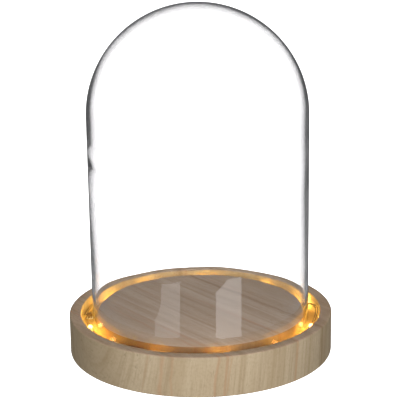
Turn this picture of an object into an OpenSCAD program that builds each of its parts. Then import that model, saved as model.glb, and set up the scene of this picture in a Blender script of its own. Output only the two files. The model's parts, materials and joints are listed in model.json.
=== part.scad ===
// Bell jar with a ring of small warm lights.
// A clear glass dome stands in a ring groove turned in a round wood base. A string of lights
// lies in the same groove, outside the glass. Its wires drop through a glued hole to a tray
// under the base, which holds three cells, a slide switch and a hinged battery door.
// The origin is the centre of the plane the feet rest on, +Z is up, and -Y is the front.
// Everything is in millimetres.

/* [Glass dome] */
// Outer diameter of the glass
glass_d = 123.6; // [100:0.2:160]
// Thickness of the glass
glass_t = 2; // [1.5:0.1:3]
// Height of the glass, from its rim to its crown
glass_h = 185; // [120:1:260]
// Ground-off corner of the glass rim
glass_edge = 0.4; // [0.2:0.1:0.6]

/* [Wood base] */
// Thickness of the wood
base_h = 23; // [19:0.5:40]
// Width of the rim outside the groove
rim_w = 6.6; // [4:0.1:14]
// Depth of the groove
groove_depth = 9; // [5:0.5:9.5]
// Width of the groove outside the glass, where the lights lie
light_gap = 6.6; // [5:0.1:12]
// Clearance between the glass and the platform inside it
seat_gap = 0.6; // [0.3:0.1:1.5]
// Rounding of the outer corners of the wood
base_round = 0.9; // [0.4:0.1:1.6]
// Broken corners of the groove
groove_chamfer = 0.4; // [0.2:0.1:0.6]

/* [Feet] */
// Diameter of a felt foot
foot_d = 12; // [8:0.5:16]
// Thickness of a felt foot
foot_h = 1; // [0.8:0.1:3]
// From the edge of the base to the middle of a foot
foot_inset = 13; // [10:0.5:18]

/* [Light string] */
// Number of lights
led_count = 11; // [5:1:16]
// Diameter of an enamelled wire
wire_d = 0.5; // [0.3:0.05:0.6]
// Distance between the two wires of the string
wire_pitch = 1.1; // [0.8:0.05:1.2]
// Diameter of the resin bead over each light
bead_d = 2.6; // [2.5:0.1:3]
// Length of the resin bead
bead_l = 4.4; // [3.5:0.1:6]
// Size of the chip inside each bead, across the wires
chip_l = 1.6; // [1.2:0.1:1.7]
// Size of the chip along the wires
chip_w = 0.8; // [0.5:0.1:1.2]
// Height of the chip
chip_h = 0.6; // [0.4:0.1:0.6]
// Direction of the wire hole, seen from above
hole_angle = 170.5; // [168:0.5:172]
// Diameter of the wire hole
hole_d = 5; // [3:0.5:5]

/* [Cells] */
// Diameter of a cell
cell_d = 10.5; // [8.5:0.1:12.6]
// Length of a cell over its button
cell_l = 44.5; // [36:0.5:54]
// Diameter of the button
button_d = 3.8; // [3:0.1:5]
// Height of the button
button_h = 1; // [0.8:0.1:1.5]
// Space for a compressed spring
spring_l = 3.9; // [3:0.1:5]
// Wire of a contact spring
spring_wire_d = 0.5; // [0.4:0.05:0.6]

/* [Battery tray] */
// Wall of the tray
tray_wall = 1.5; // [1.2:0.1:2]
// Length of the switch bay
switch_bay_l = 14.6; // [13:0.2:20]
// Wall between the switch bay and the cells
divider_t = 1.4; // [1:0.1:2]
// Clearance between the cells, and between the cells and the tray
cell_gap = 0.4; // [0.2:0.1:0.6]
// Thickness of a contact plate
plate_t = 0.4; // [0.3:0.1:0.6]
// Width of a contact plate
plate_w = 9; // [6.5:0.5:10]
// Height of a contact plate above the door
plate_lift = 1.4; // [0.5:0.1:2]

/* [Bezel and door] */
// Thickness of the bezel and the door
bezel_t = 1.6; // [1.4:0.1:2]
// How far the bezel is sunk in the wood
bezel_sink = 0.3; // [0.1:0.1:1]
// Frame of the bezel beyond the tray and the hinge
frame_w = 6.8; // [6:0.1:9]
// Gap round the door
door_gap = 0.3; // [0.2:0.1:0.5]
// Radius of the hinge barrel
barrel_r = 1.5; // [1.3:0.1:1.6]
// Diameter of the two hinge pins
pin_d = 1.8; // [1.4:0.1:2]
// Length of a hinge pin
pin_l = 1.8; // [1.4:0.1:2]
// Radial clearance of a hinge pin in its ear
pin_gap = 0.05; // [0.03:0.01:0.1]

/* [Screws] */
// Shank of a bezel screw
screw_d = 2.3; // [2:0.1:2.6]
// Head of a bezel screw
screw_head_d = 4.6; // [4:0.1:5]
// Length of a bezel screw
screw_l = 9; // [6:0.5:12]

/* [Switch] */
// Length of the switch
switch_l = 8.6; // [7.5:0.1:10]
// Width of the switch
switch_w = 3.7; // [3.2:0.1:4.4]
// Height of the switch
switch_h = 3.5; // [3.4:0.1:4]
// Travel of the knob
knob_travel = 2; // [1.5:0.1:2]
// Height of the knob's tip above the table
knob_clear = 0.7; // [0.3:0.1:0.9]

/* [Hidden] */
cell_count = 3;
foot_count = 4;

$fn = 96;
// Cut past a surface
over = 1;
// Fit of pieces that are put together once
fit = 0.1;
// Free space round pieces that are dropped in
slack = 0.3;

// Radii of the base, from the middle outwards
glass_r = glass_d / 2;
platform_r = glass_r - glass_t - seat_gap;
groove_r = glass_r + light_gap;
base_r = groove_r + rim_w;

// Heights of the base
wood_z = foot_h;
top_z = wood_z + base_h;
groove_z = top_z - groove_depth;

// Heights of the battery tray
bezel_z = wood_z + bezel_sink;
tray_z = bezel_z + bezel_t;
rim_z = tray_z + slack;
cell_z = rim_z + cell_d / 2;
ceiling_z = cell_z + cell_d / 2 + cell_gap / 2;
tray_top_z = ceiling_z + tray_wall;

// The tray lies along X: switch bay on the left, cell bay, then the hinge
cell_pitch = cell_d + cell_gap;
bay_l = cell_l + 2 * plate_t + spring_l;
bay_w = (cell_count - 1) * cell_pitch + cell_d + 2 * cell_gap;
tray_l = 2 * tray_wall + switch_bay_l + divider_t + bay_l;
tray_w = bay_w + 2 * tray_wall;
barrel_gap = 0.4;
hinge_l = barrel_gap + barrel_r + bezel_t + door_gap;
bezel_l = 2 * frame_w + tray_l + hinge_l;
bezel_x = -bezel_l / 2;
tray_x = bezel_x + frame_w;
divider_x = tray_x + tray_wall + switch_bay_l;
bay_x = divider_x + divider_t;
bay_end_x = bay_x + bay_l;
hinge_x = tray_x + tray_l + barrel_gap + barrel_r;
hinge_z = bezel_z + bezel_t;

// Door, and the ears that carry its pins
tongue_t = 1;
tongue_w = 8;
tongue_h = 4.1;
tongue_gap = 0.8;
door_lap = 0.4;
nose_l = 0.35;
nose_h = 0.8;
ledge_l = 0.3;
ledge_gap = 0.4;
rib_count = 4;
rib_pitch = 3;
rib_l = 12;
rib_h = 0.2;
door_x = divider_x - tongue_gap - tongue_t - door_lap;
door_w = bay_w - door_gap;
ear_t = 2.5;
ear_l = 3.6;
ear_h = 2.3;
ear_y = door_w / 2 + door_gap;
bezel_w = 2 * (ear_y + ear_t) + 8;
bezel_round = 4;
tray_round = 1.2;
thumb_d = 14;
screw_inset = 3.7;
screw_point = 2;
head_h = (screw_head_d - screw_d) / 2;
recess_l = 2.4;
recess_w = 0.5;
recess_h = 0.7;

// Light string
ring_r = glass_r + light_gap / 2;
side_room = light_gap / 2 - wire_pitch / 2 - wire_d / 2 - slack;
lift_room = groove_depth - bead_d;
led_pitch = 360 / led_count;
lead_in = 14.2;
strand_gap = 0.02;
// Each light's turn from its even place in degrees, and its lift as a share of the room there
led_turn = [13, -4, -4, -3, -1, -6, 2, -2, 0, 0, -2];
led_lift = [0.73, 0.25, 0.1, 0.15, 0.3, 0.55, 0.3, 0.15, 0.1, 0.15, 0.25];
// How far the wire bows up and sideways between one light and the next, as shares of the room
bow_up = [0.2, 0.3, 0.15, 0.3, 0.1, 0.5, 0.2, 0.3, 0.15, 0.35, 0];
bow_side = [0.5, -0.6, 0.4, -0.5, 0.7, 0.8, -0.5, 0.45, -0.7, 0.5, 0];
chip_z = wire_d * 0.44;
wire_z = tray_z + 1.8;
glue_top_z = wire_z - 1;
wire_bend_r = 2.5;
emerge_h = 1.5;
emerge_r = 2.2;
channel_w = 4;
tail_angle = hole_angle + 366;
tail_side = 0.6;
tail_steps = 7;
lead_steps = 3;
bow_steps = 5;
// Where the string leaves the tray, and where it turns off the hole on its way round
tray_exit = 3;
hole_turn = 3.5;

// Switch and wiring in the switch bay
switch_x = (tray_x + tray_wall + door_x) / 2;
switch_y = -(bay_w / 2 - switch_l / 2 - 3.2);
can_t = 0.3;
board_t = 0.8;
pin_w = 0.5;
pin_step = 2.5;
pin_top = 3.5;
knob_l = 1.9;
knob_w = 1.4;
shuttle_l = 4.4;
shuttle_h = 1.9;
shuttle_gap = 0.1;
slot_gap = 0.25;
switch_top_z = tray_z + switch_h;
pin_top_z = switch_top_z + pin_top;
lead_d = 1.3;
lead_z = ceiling_z - fit - lead_d / 2;
plate_top_z = lead_z - lead_d / 2 - slack;
plate_z = rim_z + plate_lift;
plate_h = plate_top_z - plate_z;
lead_red_z = plate_top_z - 0.9;
resistor_z = pin_top_z - 0.9;
resistor_d = 1.8;
resistor_waist_d = 1.5;
resistor_cap_l = 0.9;
resistor_l = 3.4;
resistor_wire_d = 0.45;
resistor_end_y = 4;
first_pin_y = switch_y + pin_step;
lead_y = cell_pitch / 2;
lead_red_y = -(cell_pitch - 3.5);

function unit(v) = v / norm(v);
function smooth(u) = u * u * (3 - 2 * u);
function radial(a) = [cos(a), sin(a), 0];
function along(a) = [-sin(a), cos(a), 0];
function on_ring(a, r, z) = [r * cos(a), r * sin(a), z];

// Light number i, counted from the wire hole
function led_angle(i) = hole_angle + lead_in + i * led_pitch + led_turn[i % len(led_turn)];
function led_z(i) = groove_z + bead_d / 2 + lift_room * led_lift[i % len(led_lift)];

// Corners of one ring of a tube, in the plane across its direction
function ring_points(centre, direction, side, r, sides) =
    let (across = unit(side - direction * (side * direction)), up = cross(direction, across))
    [for (k = [0:sides - 1]) centre + r * (across * cos(360 * k / sides) + up * sin(360 * k / sides))];

// Tube of diameter d along stations, each [place, side direction]
module tube(stations, d, sides) {
    last = len(stations) - 1;
    points = [for (i = [0:last])
        let (direction = unit(stations[min(i + 1, last)][0] - stations[max(i - 1, 0)][0]))
        each ring_points(stations[i][0], direction, stations[i][1], d / 2, sides)];
    walls = [for (i = [0:last - 1], k = [0:sides - 1])
        let (a = i * sides + k, b = i * sides + (k + 1) % sides)
        each [[a, a + sides, b], [b, a + sides, b + sides]]];
    ends = [[for (k = [0:sides - 1]) k], [for (k = [sides - 1:-1:0]) last * sides + k]];
    polyhedron(points, concat(walls, ends), convexity = 10);
}

// One stretch of the string's middle line, from [angle, height] to [angle, height]
function stretch(from, to, up, sideways, steps) =
    [for (k = [1:steps])
        let (u = k / (steps + 1), a = from[0] + (to[0] - from[0]) * u, swell = pow(sin(180 * u), 2))
        [on_ring(a, ring_r + side_room * sideways * swell,
                 from[1] + (to[1] - from[1]) * smooth(u) + lift_room * up * swell),
         radial(a)]];

// The straight stretch inside bead i
function bead_stretch(i) =
    let (a = led_angle(i), half = bead_l / 2 + slack)
    [for (s = [-1, 1]) [on_ring(a, ring_r, led_z(i)) + s * half * along(a), radial(a)]];

// Out along the channel under the base, up through the hole and over into the groove
function lead_in_stations() =
    let (out = radial(hole_angle), round = along(hole_angle), down = [0, 0, -1],
         corner_r = ring_r - wire_bend_r, over_z = groove_z + emerge_h)
    concat(
        [for (r = [tray_exit - tray_x, ring_r - 12]) [on_ring(hole_angle, r, wire_z), down]],
        [for (a = [0:22.5:90])
            [on_ring(hole_angle, corner_r + wire_bend_r * sin(a), wire_z + wire_bend_r * (1 - cos(a))),
             out * sin(a) + down * cos(a)]],
        [for (a = [0:30:90])
            [on_ring(hole_angle, ring_r, over_z + emerge_r * sin(a)) + round * emerge_r * (1 - cos(a)),
             out]]
    );

function string_stations() =
    let (last = led_count - 1, over_z = groove_z + emerge_h + emerge_r,
         start = [hole_angle + hole_turn, over_z], tail_z = over_z + wire_d + slack)
    concat(
        lead_in_stations(),
        stretch(start, [led_angle(0), led_z(0)], 0, 0, lead_steps),
        [for (i = [0:last]) each concat(
            bead_stretch(i),
            i < last ? stretch([led_angle(i), led_z(i)], [led_angle(i + 1), led_z(i + 1)],
                               bow_up[i % len(bow_up)], bow_side[i % len(bow_side)], bow_steps) : [])],
        [for (k = [1:tail_steps])
            let (u = k / tail_steps, swing = smooth(min(1, 2 * u)),
                 a = led_angle(last) + (tail_angle - led_angle(last)) * u,
                 z = led_z(last) + (tail_z - led_z(last)) * swing)
            [on_ring(a, ring_r + side_room * tail_side * swing, z), radial(a)]]
    );

// One of the two wires, s being -1 for the inner and 1 for the outer one in the groove
function strand(s) = [for (t = string_stations()) [t[0] + s * wire_pitch / 2 * t[1], t[1]]];

// The inner ends of the two wires, in the switch bay
positive_end = [
    [switch_x, resistor_end_y, resistor_z],
    [switch_x, resistor_end_y + 0.7, resistor_z],
    [switch_x - 1, resistor_end_y + 1.5, resistor_z - 1],
    [switch_x - 3, resistor_end_y + 1.8, wire_z + 1.3]
];
negative_end = [
    [switch_x - 1.9, resistor_end_y + 5, tray_z + 3.2],
    [switch_x - 3.2, resistor_end_y + 3.2, tray_z + 1.7]
];

module string_wire(s, inner_end) {
    ends = [for (p = inner_end) [p, [0, 0, -1]]];
    tube(concat(ends, strand(s)), wire_d, 6);
}

module rounded_plate(x, l, w, r, h) {
    linear_extrude(h) {
        translate([x, r - w / 2]) square([l, w - 2 * r]);
        translate([x + r, -w / 2]) square([l - 2 * r, w]);
        for (cx = [x + r, x + l - r], cy = [r - w / 2, w / 2 - r]) translate([cx, cy]) circle(r);
    }
}

module block(x, l, y, w, z, h) {
    translate([x, y, z]) cube([l, w, h]);
}

// Takes a corner off by leg on both sides
module corner_cut(leg) {
    rotate(45) square(leg * sqrt(2), center = true);
}

module dome_outline(r, h) {
    intersection() {
        union() {
            translate([0, h - r]) circle(r, $fn = 180);
            square([r, h - r]);
        }
        square([r, h]);
    }
}

module glass_dome() {
    color("lightcyan", 0.35)
    translate([0, 0, groove_z])
    rotate_extrude($fn = 180)
    difference() {
        dome_outline(glass_r, glass_h);
        translate([0, -over]) dome_outline(glass_r - glass_t, glass_h - glass_t + over);
        for (r = [glass_r - glass_t, glass_r]) translate([r, 0]) corner_cut(glass_edge);
    }
}

module turned_outline() {
    difference() {
        union() {
            square([base_r - base_round, base_h]);
            translate([0, base_round]) square([base_r, base_h - 2 * base_round]);
            for (y = [base_round, base_h - base_round])
                translate([base_r - base_round, y]) circle(base_round);
        }
        translate([platform_r, base_h - groove_depth])
            square([groove_r - platform_r, groove_depth + over]);
        for (r = [platform_r, groove_r]) translate([r, base_h]) corner_cut(groove_chamfer);
    }
}

module at_screws() {
    for (x = [bezel_x + screw_inset, bezel_x + bezel_l - screw_inset])
        for (y = [-1, 1] * (bezel_w / 2 - screw_inset)) translate([x, y, bezel_z]) children();
}

module wire_channel(from_r) {
    channel_h = wire_z + channel_w / 2 - wood_z;
    rotate(hole_angle)
        block(from_r, ring_r - from_r, -channel_w / 2, channel_w, wood_z - over, channel_h + over);
}

module wood_base() {
    ear_top = bezel_z + bezel_t + ear_h + slack;
    ear_reach = ear_y + ear_t + slack;
    color("tan") difference() {
        translate([0, 0, wood_z]) rotate_extrude($fn = 180) turned_outline();
        translate([0, 0, wood_z - over])
            rounded_plate(bezel_x - slack, bezel_l + 2 * slack, bezel_w + 2 * slack, bezel_round + slack,
                          bezel_sink + bezel_t + over);
        translate([0, 0, wood_z - over])
            rounded_plate(tray_x - slack, tray_l + 2 * slack, tray_w + 2 * slack, tray_round + slack,
                          tray_top_z + slack - wood_z + over);
        block(tray_x + tray_l - over, hinge_l + over, -ear_reach, 2 * ear_reach, wood_z, ear_top - wood_z);
        wire_channel(-tray_x - 2 * over);
        translate([0, 0, wood_z - over]) translate(on_ring(hole_angle, ring_r, 0))
            cylinder(d = hole_d, h = base_h);
        at_screws() cylinder(d = screw_d + fit, h = screw_l + over);
    }
}

module foot_pad(i) {
    a = (i - 0.5) * 360 / foot_count;
    color("dimgray") translate(on_ring(a, base_r - foot_inset, 0)) cylinder(d = foot_d, h = foot_h);
}

module at_led(i) {
    translate(on_ring(led_angle(i - 1), ring_r, led_z(i - 1))) rotate(led_angle(i - 1)) children();
}

module chip_block() {
    translate([-chip_l / 2, -chip_w / 2, chip_z]) cube([chip_l, chip_w, chip_h]);
}

module led_chip(i) {
    color("gold") at_led(i) chip_block();
}

module led_bead(i) {
    straight = bead_l - bead_d;
    color("ivory", 0.8) at_led(i) difference() {
        rotate([90, 0, 0]) rotate_extrude($fn = 32) intersection() {
            union() {
                square([bead_d, straight], center = true);
                for (y = [-1, 1] * straight / 2) translate([0, y]) circle(d = bead_d);
            }
            translate([0, -bead_l]) square([bead_d, 2 * bead_l]);
        }
        for (x = [-1, 1] * wire_pitch / 2) translate([x, 0, 0]) rotate([90, 0, 0])
            cylinder(d = wire_d + 2 * strand_gap, h = bead_l + over, center = true, $fn = 24);
        chip_block();
    }
}

module wire_hole_plug() {
    plug_z = wire_z + wire_bend_r + fit;
    plug_l = groove_z - plug_z;
    color("white", 0.7) translate(on_ring(hole_angle, ring_r, plug_z)) rotate(hole_angle) difference() {
        cylinder(d = hole_d - 2 * strand_gap, h = plug_l);
        for (x = [-1, 1] * wire_pitch / 2) translate([x, 0, -over])
            cylinder(d = wire_d + 2 * strand_gap, h = plug_l + 2 * over, $fn = 24);
    }
}

// Holds the wires in their channel and closes the bottom of the hole
module channel_glue() {
    w = channel_w - 2 * strand_gap;
    h = glue_top_z - wood_z;
    from_r = (-bezel_x + slack + w / 2 * abs(sin(hole_angle))) / abs(cos(hole_angle));
    color("white", 0.7) {
        rotate(hole_angle) block(from_r, ring_r - from_r, -w / 2, w, wood_z, h);
        translate(on_ring(hole_angle, ring_r, wood_z)) cylinder(d = hole_d - 2 * strand_gap, h = h);
    }
}

module battery_tray() {
    ledge_z = tray_z + tongue_h - 2 * nose_h - ledge_gap;
    color([0.16, 0.16, 0.17]) difference() {
        union() {
            difference() {
                translate([0, 0, tray_z])
                    rounded_plate(tray_x, tray_l, tray_w, tray_round, tray_top_z - tray_z);
                for (bay = [[tray_x + tray_wall, switch_bay_l], [bay_x, bay_l]])
                    block(bay[0], bay[1], -bay_w / 2, bay_w, tray_z - over, ceiling_z - tray_z + over);
                block(door_x - slack, tray_l + hinge_l, -bay_w / 2, bay_w, tray_z - over, over + slack);
            }
            block(divider_x - ledge_l, divider_t, -tongue_w / 2, tongue_w, ledge_z, nose_h);
        }
        wire_channel(-tray_x - tray_wall - 2 * over);
        for (place = [[lead_y, lead_z], [lead_red_y, lead_red_z]])
            block(divider_x - over, divider_t + 2 * over, place[0] - lead_d / 2 - fit, lead_d + 2 * fit,
                  place[1] - lead_d / 2 - fit, lead_d + 2 * fit);
    }
}

module bezel_ear(side) {
    y = side > 0 ? ear_y : -ear_y - ear_t;
    difference() {
        block(hinge_x - ear_l / 2, ear_l, y, ear_t, bezel_z, bezel_t + ear_h);
        translate([hinge_x, y - over, hinge_z]) rotate([-90, 0, 0])
            cylinder(d = pin_d + 2 * pin_gap, h = ear_t + 2 * over);
    }
}

module tray_bezel() {
    window_x = door_x - door_gap;
    window_l = hinge_x + bezel_t + door_gap - window_x;
    slot_l = knob_l + knob_travel + 4 * slot_gap;
    color([0.13, 0.13, 0.14]) {
        difference() {
            translate([0, 0, bezel_z]) rounded_plate(bezel_x, bezel_l, bezel_w, bezel_round, bezel_t);
            block(window_x, window_l, -ear_y, 2 * ear_y, bezel_z - over, bezel_t + 2 * over);
            for (y = [-ear_y - ear_t, ear_y])
                block(hinge_x - ear_l / 2, ear_l, y, ear_t, bezel_z - over, bezel_t + 2 * over);
            translate([window_x, 0, bezel_z - over]) cylinder(d = thumb_d, h = over + bezel_t / 2);
            block(switch_x - knob_w / 2 - slot_gap, knob_w + 2 * slot_gap, switch_y - slot_l / 2, slot_l,
                  bezel_z - over, bezel_t + 2 * over);
            at_screws() {
                translate([0, 0, -over]) cylinder(d = screw_d + 2 * fit, h = bezel_t + 2 * over);
                cylinder(d1 = screw_head_d + 2 * fit, d2 = screw_d + 2 * fit, h = head_h);
            }
        }
        for (side = [-1, 1]) bezel_ear(side);
    }
}

module battery_door() {
    tongue_x = door_x + door_lap;
    color([0.2, 0.2, 0.21]) {
        block(door_x, hinge_x - door_x, -door_w / 2, door_w, bezel_z, bezel_t);
        translate([hinge_x, door_w / 2, hinge_z]) rotate([90, 0, 0]) cylinder(r = barrel_r, h = door_w);
        for (y = [-door_w / 2 - pin_l, door_w / 2]) translate([hinge_x, y, hinge_z]) rotate([-90, 0, 0])
            cylinder(d = pin_d, h = pin_l);
        block(tongue_x, tongue_t, -tongue_w / 2, tongue_w, bezel_z + bezel_t / 2, bezel_t / 2 + tongue_h);
        block(tongue_x, tongue_t + nose_l, -tongue_w / 2, tongue_w, tray_z + tongue_h - nose_h, nose_h);
        for (k = [2:rib_count + 1])
            block(door_x + k * rib_pitch, 1, -rib_l / 2, rib_l, bezel_z - rib_h, 2 * rib_h);
    }
}

module bezel_screws() {
    color("silver") at_screws() difference() {
        rotate_extrude($fn = 32) polygon([[0, 0], [screw_head_d / 2, 0], [screw_d / 2, head_h],
            [screw_d / 2, screw_l - screw_point], [0, screw_l]]);
        for (turn = [0, 90]) rotate(turn) cube([recess_l, recess_w, 2 * recess_h], center = true);
    }
}

// Cells 1 and 3 have their buttons on the left, cell 2 on the right
function points_left(i) = i % 2 == 1;
function cell_y(i) = (i - (cell_count + 1) / 2) * cell_pitch;

module cell(i) {
    side = points_left(i) ? 1 : -1;
    tip_x = points_left(i) ? bay_x + plate_t : bay_end_x - plate_t;
    color("silver") translate([tip_x, cell_y(i), cell_z]) rotate([0, side * 90, 0]) rotate_extrude() {
        translate([0, button_h]) square([cell_d / 2, cell_l - button_h]);
        square([button_d / 2, button_h]);
    }
}

// A tapering coil from the contact plate to the flat end of its cell
module contact_spring(i) {
    turns = 3.5;
    taper = 0.28;
    spring_r = plate_h / 2 - spring_wire_d - fit;
    gap = spring_wire_d / 2 + strand_gap;
    side = points_left(i) ? -1 : 1;
    plate_face_x = points_left(i) ? bay_end_x - plate_t : bay_x + plate_t;
    run = spring_l - 2 * gap;
    stations = [for (a = [0:30:360 * turns])
        let (u = a / 360 / turns, r = spring_r * (1 - taper * u), out = [0, cos(a), sin(a)])
        [[plate_face_x + side * (gap + run * u), cell_y(i), cell_z] + r * out, out]];
    color("silver") tube(stations, spring_wire_d, 6);
}

module plate(x, first, last) {
    w = cell_y(last) - cell_y(first) + plate_w;
    color("gainsboro") block(x, plate_t, cell_y(first) - plate_w / 2, w, plate_z, plate_h);
}

module positive_plate() {
    plate(bay_x, 1, 1);
}

module left_bridge_plate() {
    plate(bay_x, 2, 3);
}

module right_bridge_plate() {
    plate(bay_end_x - plate_t, 1, 2);
}

module negative_plate() {
    plate(bay_end_x - plate_t, 3, 3);
}

module lead(points) {
    tube([for (p = points) [p, [0.3, 0.2, 1]]], lead_d, 8);
}

module lead_red() {
    color("red") lead([
        [switch_x, switch_y, pin_top_z + fit / 2],
        [switch_x, switch_y, pin_top_z + 0.8],
        [switch_x + 1.6, switch_y + 0.5, lead_red_z + 0.7],
        [divider_x - 2.2, lead_red_y, lead_red_z],
        [bay_x - fit / 2, lead_red_y, lead_red_z]
    ]);
}

module lead_black() {
    join = negative_end[0];
    plate_join_y = cell_y(cell_count) - 3.7;
    plate_join_z = plate_top_z - lead_d / 2;
    color("black") lead([
        join + [0.1, 0.1, 0.1],
        join + [1.6, 0.9, 2.6],
        [divider_x - 4.5, lead_y + 2.2, lead_z - 0.8],
        [divider_x - 1.6, lead_y, lead_z],
        [bay_end_x - plate_t - spring_l, lead_y, lead_z],
        [bay_end_x - plate_t - 1.2, plate_join_y, plate_join_z],
        [bay_end_x - plate_t - fit / 2, plate_join_y, plate_join_z]
    ]);
}

module series_resistor() {
    wire_l = resistor_end_y - fit / 2 - first_pin_y - pin_w / 2;
    color("peru") translate([switch_x, first_pin_y + pin_w / 2, resistor_z]) rotate([-90, 0, 0]) {
        cylinder(d = resistor_wire_d, h = wire_l, $fn = 24);
        translate([0, 0, wire_l / 2 - resistor_l / 2]) {
            cylinder(d = resistor_waist_d, h = resistor_l, $fn = 32);
            for (z = [0, resistor_l - resistor_cap_l]) translate([0, 0, z])
                cylinder(d = resistor_d, h = resistor_cap_l, $fn = 32);
        }
    }
}

module at_switch() {
    translate([switch_x, switch_y, tray_z]) children();
}

module centred_block(w, l, z, h) {
    translate([-w / 2, -l / 2, z]) cube([w, l, h]);
}

module switch_shell() {
    slot_l = knob_l + knob_travel + 2 * slot_gap;
    color("silver") at_switch() difference() {
        centred_block(switch_w, switch_l, 0, switch_h);
        centred_block(switch_w - 2 * can_t, switch_l - 2 * can_t, can_t, switch_h);
        centred_block(knob_w + 2 * slot_gap, slot_l, -over, 2 * over);
    }
}

module switch_board() {
    color("saddlebrown") at_switch() difference() {
        centred_block(switch_w - 2 * can_t, switch_l - 2 * can_t, switch_h - board_t, board_t);
        for (k = [-1:1]) translate([0, k * pin_step, 0])
            centred_block(pin_w, pin_w, switch_h - 2 * board_t, 3 * board_t);
    }
}

module switch_terminals() {
    color("gainsboro") at_switch() for (k = [-1:1]) translate([0, k * pin_step, 0])
        centred_block(pin_w, pin_w, switch_h - board_t, pin_top + board_t);
}

// Drawn where the lights are on
module switch_knob() {
    shuttle_z = can_t + shuttle_gap;
    tip = tray_z - knob_clear;
    color("white") at_switch() translate([0, -knob_travel / 2, 0]) {
        centred_block(switch_w - 2 * can_t - 4 * shuttle_gap, shuttle_l, shuttle_z, shuttle_h);
        centred_block(knob_w, knob_l, -tip, tip + shuttle_z + over);
    }
}

glass_dome();
wood_base();
for (i = [1:foot_count]) foot_pad(i);
string_wire(-1, positive_end);  // string_wire_positive
string_wire(1, negative_end);  // string_wire_negative
for (i = [1:led_count]) led_chip(i);
for (i = [1:led_count]) led_bead(i);
wire_hole_plug();
channel_glue();
battery_tray();
tray_bezel();
battery_door();
bezel_screws();
for (i = [1:cell_count]) cell(i);
for (i = [1:cell_count]) contact_spring(i);
positive_plate();
negative_plate();
left_bridge_plate();
right_bridge_plate();
lead_red();
lead_black();
series_resistor();
switch_shell();
switch_board();
switch_terminals();
switch_knob();
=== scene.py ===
import json
import math

import bpy
from mathutils import Matrix, Vector


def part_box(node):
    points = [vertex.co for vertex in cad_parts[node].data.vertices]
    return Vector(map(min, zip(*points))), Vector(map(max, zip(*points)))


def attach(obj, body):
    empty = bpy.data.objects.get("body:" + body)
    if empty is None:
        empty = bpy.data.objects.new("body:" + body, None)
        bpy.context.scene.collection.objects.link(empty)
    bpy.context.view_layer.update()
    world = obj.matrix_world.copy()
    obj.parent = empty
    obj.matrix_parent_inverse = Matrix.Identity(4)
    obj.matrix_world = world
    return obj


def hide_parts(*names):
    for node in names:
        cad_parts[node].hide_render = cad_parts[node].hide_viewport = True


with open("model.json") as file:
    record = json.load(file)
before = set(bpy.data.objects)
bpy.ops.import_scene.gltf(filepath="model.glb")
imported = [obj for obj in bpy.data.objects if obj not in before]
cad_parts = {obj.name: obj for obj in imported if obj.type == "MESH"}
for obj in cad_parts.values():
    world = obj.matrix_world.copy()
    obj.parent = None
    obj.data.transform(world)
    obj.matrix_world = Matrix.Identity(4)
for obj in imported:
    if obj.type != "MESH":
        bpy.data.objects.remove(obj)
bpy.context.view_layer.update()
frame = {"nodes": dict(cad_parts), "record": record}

# Glass bell jar with a ring of small warm lights, on a turned wood base.
# Metres throughout. Front is -Y, the cells and the switch are under the base.

mm = 0.001
tiny = 0.05 * mm
bodies = frame["record"]["behaviour"]["bodies"]
bodyOfNode = {node: body for body, members in bodies.items() for node in members}

glassLow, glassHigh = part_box("glass_dome")
woodLow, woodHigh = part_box("wood_base")
trayLow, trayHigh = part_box("battery_tray")
bezelLow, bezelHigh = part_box("tray_bezel")

# the glass stands in the groove of the base, with the lights between it and the rim
glassWall = 2 * mm
seatGap = 0.6 * mm
rimWidth = 6.6 * mm
glassRadius = glassHigh.x
woodRadius = woodHigh.x
grooveZ = glassLow.z
grooveOuter = woodRadius - rimWidth
grooveInner = glassRadius - glassWall - seatGap
ringRadius = (glassRadius + grooveOuter) / 2
print("frame loaded:", len(frame["nodes"]), "nodes")


def take(piece):
    bpy.ops.object.select_all(action="DESELECT")
    piece.select_set(True)
    bpy.context.view_layer.objects.active = piece
    return piece


def claim(name):
    # names what was just added and moves its place into the mesh
    piece = take(bpy.context.active_object)
    piece.name = piece.data.name = name
    bpy.ops.object.transform_apply(location=True, rotation=True, scale=True)
    return piece


def startSelection(piece, kind):
    # leaves nothing selected, ready to pick faces, edges or points by their place
    take(piece)
    bpy.ops.object.mode_set(mode="EDIT")
    bpy.ops.mesh.select_mode(type=kind)
    bpy.ops.mesh.select_all(action="DESELECT")
    bpy.ops.object.mode_set(mode="OBJECT")


def selectFaces(piece, wanted):
    startSelection(piece, "FACE")
    for face in piece.data.polygons:
        face.select = wanted(face.center, face.normal)
    bpy.ops.object.mode_set(mode="EDIT")


def selectEdges(piece, wanted):
    startSelection(piece, "EDGE")
    points = piece.data.vertices
    for edge in piece.data.edges:
        edge.select = wanted(*(points[v].co for v in edge.vertices))
    bpy.ops.object.mode_set(mode="EDIT")


def selectPoints(piece, wanted):
    startSelection(piece, "VERT")
    for point in piece.data.vertices:
        point.select = wanted(point.co)
    bpy.ops.object.mode_set(mode="EDIT")


def leaveEdit():
    bpy.ops.object.mode_set(mode="OBJECT")


def extrude(x, y, z):
    bpy.ops.mesh.extrude_region_move(TRANSFORM_OT_translate={"value": (x, y, z)})


def bevelEdges(piece, wanted, offset, segments):
    selectEdges(piece, wanted)
    bpy.ops.mesh.bevel(offset=offset, segments=segments, affect="EDGES")
    leaveEdit()


def onCircle(radius, height):
    def isOn(point):
        return abs(point.xy.length - radius) < tiny and abs(point.z - height) < tiny

    return lambda a, b: isOn(a) and isOn(b)


def smooth(piece, angle=35):
    take(piece)
    bpy.ops.object.shade_smooth_by_angle(angle=math.radians(angle))
    return piece


def applyAll(piece):
    take(piece)
    for modifier in list(piece.modifiers):
        bpy.ops.object.modifier_apply(modifier=modifier.name)
    return piece


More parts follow.
